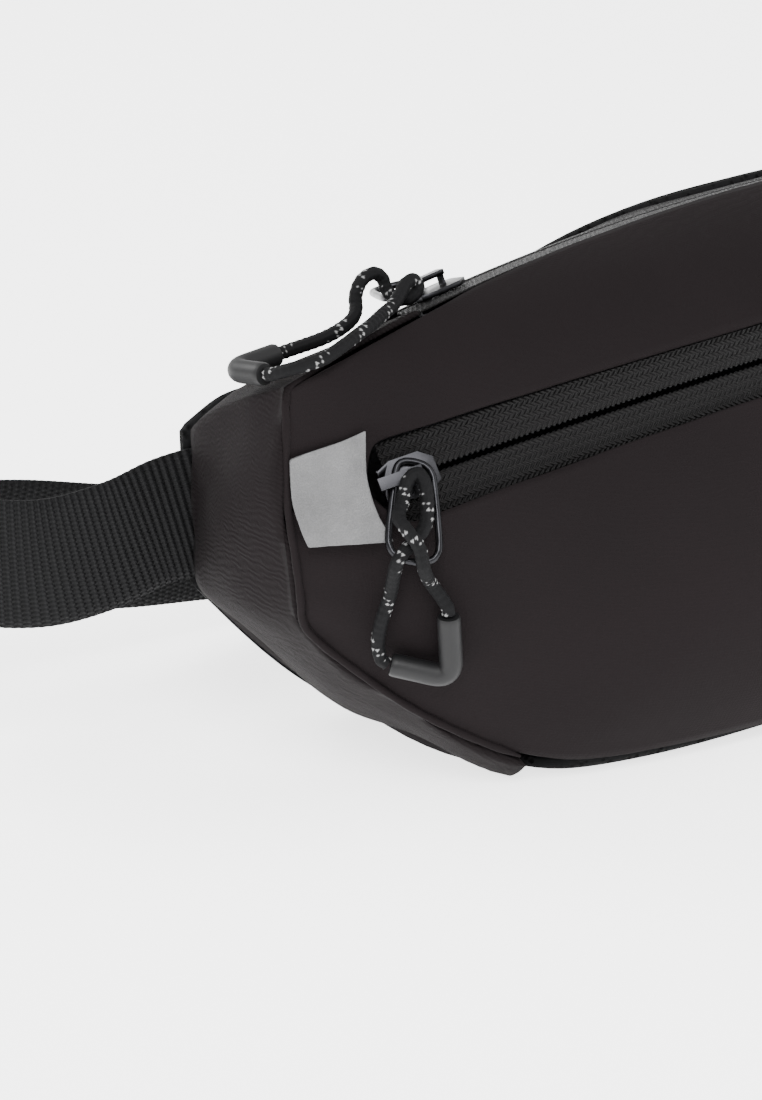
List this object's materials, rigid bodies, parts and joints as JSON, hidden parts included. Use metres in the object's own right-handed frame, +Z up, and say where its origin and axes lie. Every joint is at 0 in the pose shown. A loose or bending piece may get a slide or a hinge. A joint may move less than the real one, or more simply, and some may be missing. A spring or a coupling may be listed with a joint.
{
  "type": "waist pack",
  "caption": "Low curved waist pack with two zipped compartments, corded zip pulls, reflective zip-end tabs and a webbing belt closed by a side-release buckle.",
  "frame": {"origin": "centre of the footprint of the whole pack and belt, on the plane it stands on", "axes": "+X along the belt to the right as seen from the front, -Y out of the pack's front, +Z up"},
  "size_m": [0.3816, 0.1364, 0.104],
  "materials": {
    "shell_fabric": "matt charcoal-brown woven polyester, coated inside",
    "mesh_fabric": "black spacer mesh, matt",
    "lining": "thin coated lining cloth, matt",
    "foam": "grey closed-cell foam, matt",
    "zip_tape": "black herringbone zip tape, matt",
    "zip_coil": "black nylon coil, semi-gloss",
    "reflective": "silver-grey glass-bead reflective cloth",
    "gunmetal": "dark gunmetal plating, satin",
    "cord": "black braided cord with light flecks",
    "soft_grip": "soft charcoal moulded grip, matt",
    "webbing": "black ribbed polyester webbing",
    "buckle_plastic": "black moulded acetal, fine matt",
    "elastic": "black woven elastic"
  },
  "bodies": {
    "bag": {"front_panel_upper": "shell_fabric", "front_pocket_panel": "shell_fabric", "side_panel_left": "shell_fabric", "side_panel_right": "shell_fabric", "back_panel": "mesh_fabric", "back_foam_pad": "foam", "pocket_lining": "lining", "front_zip_tape_upper": "zip_tape", "front_zip_tape_lower": "zip_tape", "front_zip_coil_upper": "zip_coil", "front_zip_coil_lower": "zip_coil", "top_zip_tape_front": "zip_tape", "top_zip_tape_rear": "zip_tape", "top_zip_coil_front": "zip_coil", "top_zip_coil_rear": "zip_coil", "reflective_tab_left": "reflective", "reflective_tab_right": "reflective", "belt_webbing_left": "webbing", "belt_webbing_right": "webbing", "webbing_fold_right": "webbing", "buckle_socket": "buckle_plastic"},
    "front_slider_body": {"front_slider": "gunmetal"},
    "front_pull": {"front_pull_ring": "gunmetal", "front_pull_cord": "cord"},
    "front_grip": {"front_pull_grip": "soft_grip"},
    "top_slider_body": {"top_slider": "gunmetal"},
    "top_pull": {"top_pull_ring": "gunmetal", "top_pull_cord": "cord"},
    "top_grip": {"top_pull_grip": "soft_grip"},
    "buckle_plug_body": {"buckle_plug": "buckle_plastic", "webbing_fold_left": "webbing"},
    "prong_upper": {"plug_prong_upper": "buckle_plastic"},
    "prong_lower": {"plug_prong_lower": "buckle_plastic"},
    "keeper": {"webbing_keeper": "elastic"}
  },
  "joints": [
    {"name": "front_slider_travel", "type": "hinge", "parent": "bag", "child": "front_slider_body", "pos_m": [0, 0.2068, -0.0925], "axis": [0, 0.5592, 0.829], "range_deg": [0, 40], "deforming": ["front_pull_cord", "front_pull_grip"]},
    {"name": "front_pull_swing", "type": "hinge", "parent": "front_slider_body", "child": "front_pull", "pos_m": [-0.11745, -0.03447, 0.0702], "axis": [-0.4608, -0.4007, -0.7919], "range_deg": [0, 85], "deforming": ["front_pull_cord", "front_pull_grip"]},
    {"name": "front_grip_swing", "type": "hinge", "parent": "front_pull", "child": "front_grip", "pos_m": [-0.12068, -0.04358, 0.05674], "axis": [-0.8099, 0.5547, 0.1906], "range_deg": [0, 60], "deforming": ["front_pull_cord", "front_pull_grip"]},
    {"name": "top_slider_travel", "type": "hinge", "parent": "bag", "child": "top_slider_body", "pos_m": [0, -0.1942, -0.487], "axis": [0, 0.9511, -0.309], "range_deg": [0, 15.6], "deforming": ["top_pull_cord", "top_pull_grip"]},
    {"name": "top_pull_swing", "type": "hinge", "parent": "top_slider_body", "child": "top_pull", "pos_m": [-0.08819, -0.00467, 0.09629], "axis": [0.5861, 0.7851, -0.2], "range_deg": [0, 85], "deforming": ["top_pull_cord", "top_pull_grip"]},
    {"name": "top_grip_swing", "type": "hinge", "parent": "top_pull", "child": "top_grip", "pos_m": [-0.09449, -0.00037, 0.09467], "axis": [0.5861, 0.7851, -0.2], "range_deg": [0, 60], "deforming": ["top_pull_cord", "top_pull_grip"]},
    {"name": "buckle_plug_slide", "type": "slide", "parent": "bag", "child": "buckle_plug_body", "axis": [-1, 0, 0], "range_m": [0, 0.027], "deforming": ["belt_webbing_left"]},
    {"name": "prong_upper_squeeze", "type": "hinge", "parent": "buckle_plug_body", "child": "prong_upper", "pos_m": [-0.0095, 0.0623, 0.0285], "axis": [0, 1, 0], "range_deg": [0, 11.6]},
    {"name": "prong_lower_squeeze", "type": "hinge", "parent": "buckle_plug_body", "child": "prong_lower", "pos_m": [-0.0095, 0.0623, 0.0085], "axis": [0, -1, 0], "range_deg": [0, 11.6]},
    {"name": "keeper_slide", "type": "slide", "parent": "bag", "child": "keeper", "axis": [0.984, 0, 0.178], "range_m": [-0.006, 0.008]}
  ],
  "couplings": [
    {"joint": "prong_upper_squeeze", "follows": "buckle_plug_slide", "rad_per_m": 7.43},
    {"joint": "prong_lower_squeeze", "follows": "buckle_plug_slide", "rad_per_m": 7.43}
  ]
}
